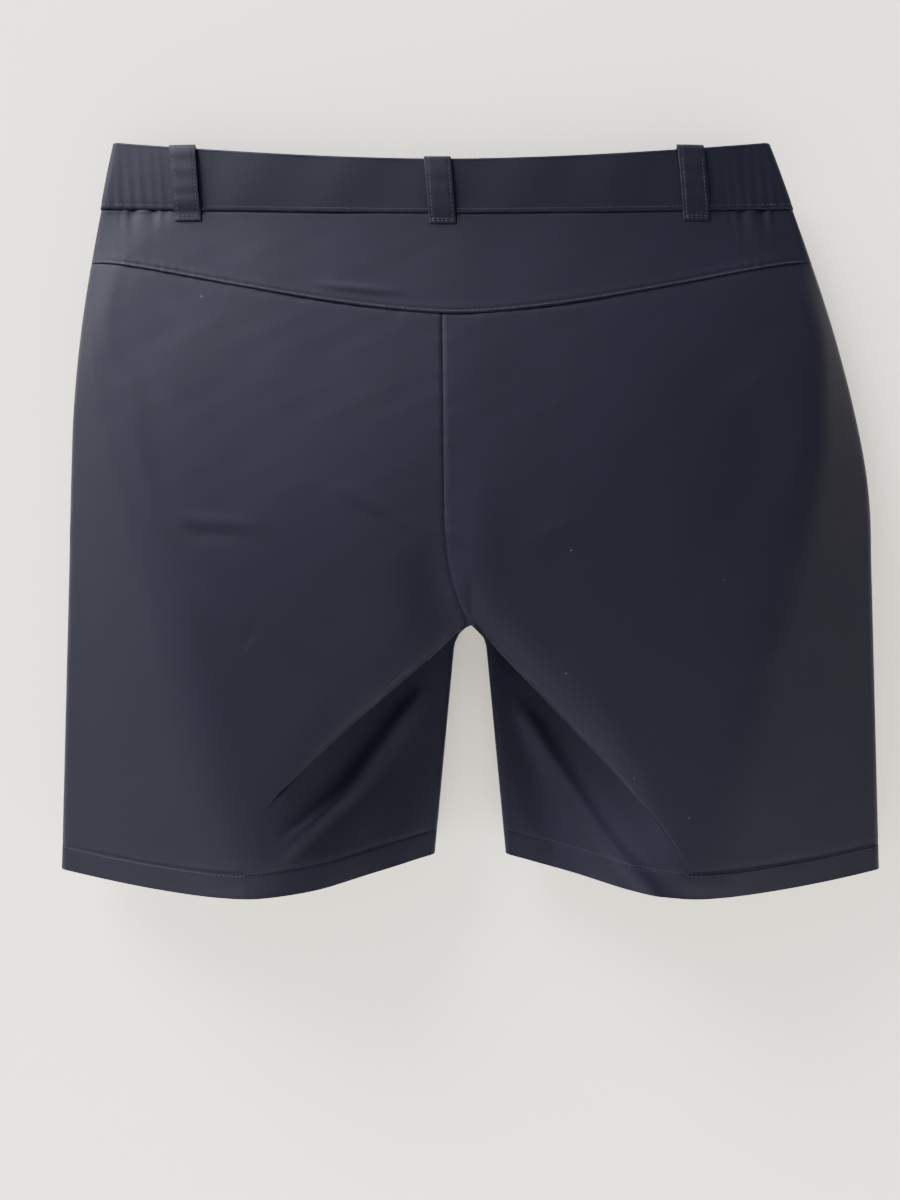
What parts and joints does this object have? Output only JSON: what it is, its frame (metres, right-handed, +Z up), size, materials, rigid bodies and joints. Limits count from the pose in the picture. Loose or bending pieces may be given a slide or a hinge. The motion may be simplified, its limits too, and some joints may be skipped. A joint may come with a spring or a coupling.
{
  "type": "outdoor shorts",
  "caption": "Knee-length woven stretch outdoor shorts with a part-elastic waistband, belt loops, back yoke, hand pockets and a zip fly, hanging flat from the waistband.",
  "frame": {"origin": "midway between the two places where the waistband is gripped to hang the shorts, halfway up the waistband and between its front and back layers", "axes": "+Z up along the hanging garment, +Y out of the wearer's back, +X to the wearer's left"},
  "size_m": [0.52, 0.0701, 0.471],
  "materials": {
    "shell_cloth": "matt fine plain weave, slight sheen",
    "lining_cloth": "matt",
    "pocket_cloth": "matt mesh",
    "elastic": "ribbed",
    "zip_tape": "woven tape",
    "zip_plastic": "satin",
    "dark_metal": "satin gunmetal",
    "label_tape": "satin woven tape"
  },
  "bodies": {
    "shorts": {"back_panel_left": "shell_cloth", "back_panel_right": "shell_cloth", "front_panel_left": "shell_cloth", "front_panel_right": "shell_cloth", "back_yoke": "shell_cloth", "hem_facing_back_left": "lining_cloth", "hem_facing_front_left": "lining_cloth", "hem_facing_back_right": "lining_cloth", "hem_facing_front_right": "lining_cloth", "pocket_facing_left": "shell_cloth", "pocket_bag_left": "pocket_cloth", "pocket_facing_right": "shell_cloth", "pocket_bag_right": "pocket_cloth", "waistband_back": "shell_cloth", "waistband_front_left": "shell_cloth", "waistband_front_right": "shell_cloth", "waistband_side_left": "shell_cloth", "waistband_side_right": "shell_cloth", "waistband_facing_back": "lining_cloth", "waistband_facing_front_left": "lining_cloth", "waistband_facing_front_right": "lining_cloth", "waistband_facing_side_left": "lining_cloth", "waistband_facing_side_right": "lining_cloth", "waist_elastic_left": "elastic", "waist_elastic_right": "elastic", "belt_loop_centre_back": "shell_cloth", "belt_loop_back_left": "shell_cloth", "belt_loop_back_right": "shell_cloth", "belt_loop_front_left": "shell_cloth", "belt_loop_front_right": "shell_cloth", "zip_tape_left": "zip_tape", "zip_teeth_left": "zip_plastic", "zip_tape_right": "zip_tape", "zip_teeth_right": "zip_plastic", "zip_bottom_stop": "zip_plastic", "fly_shield": "shell_cloth", "snap_stud": "dark_metal", "size_label": "label_tape", "care_label": "label_tape"},
    "fly_placket": {"fly_placket": "shell_cloth", "waistband_tab": "shell_cloth", "snap_cap": "dark_metal", "snap_socket": "dark_metal"},
    "zip_slider": {"zip_slider": "dark_metal"},
    "zip_puller": {"zip_puller": "dark_metal"}
  },
  "joints": [
    {"name": "placket_lift", "type": "hinge", "parent": "shorts", "child": "fly_placket", "pos_m": [0.01466, -0.0149, -0.095], "axis": [0.0838, 0, 0.9965], "range_deg": [0, 100]},
    {"name": "zip_slide", "type": "slide", "parent": "shorts", "child": "zip_slider", "axis": [-0.0838, 0, -0.9965], "range_m": [0, 0.108]},
    {"name": "puller_swing", "type": "hinge", "parent": "zip_slider", "child": "zip_puller", "pos_m": [0.00532, -0.0133, -0.0395], "axis": [-1, 0, 0], "range_deg": [0, 45]}
  ],
  "couplings": [
    {"joint": "puller_swing", "follows": "placket_lift", "ratio": 0.45}
  ]
}
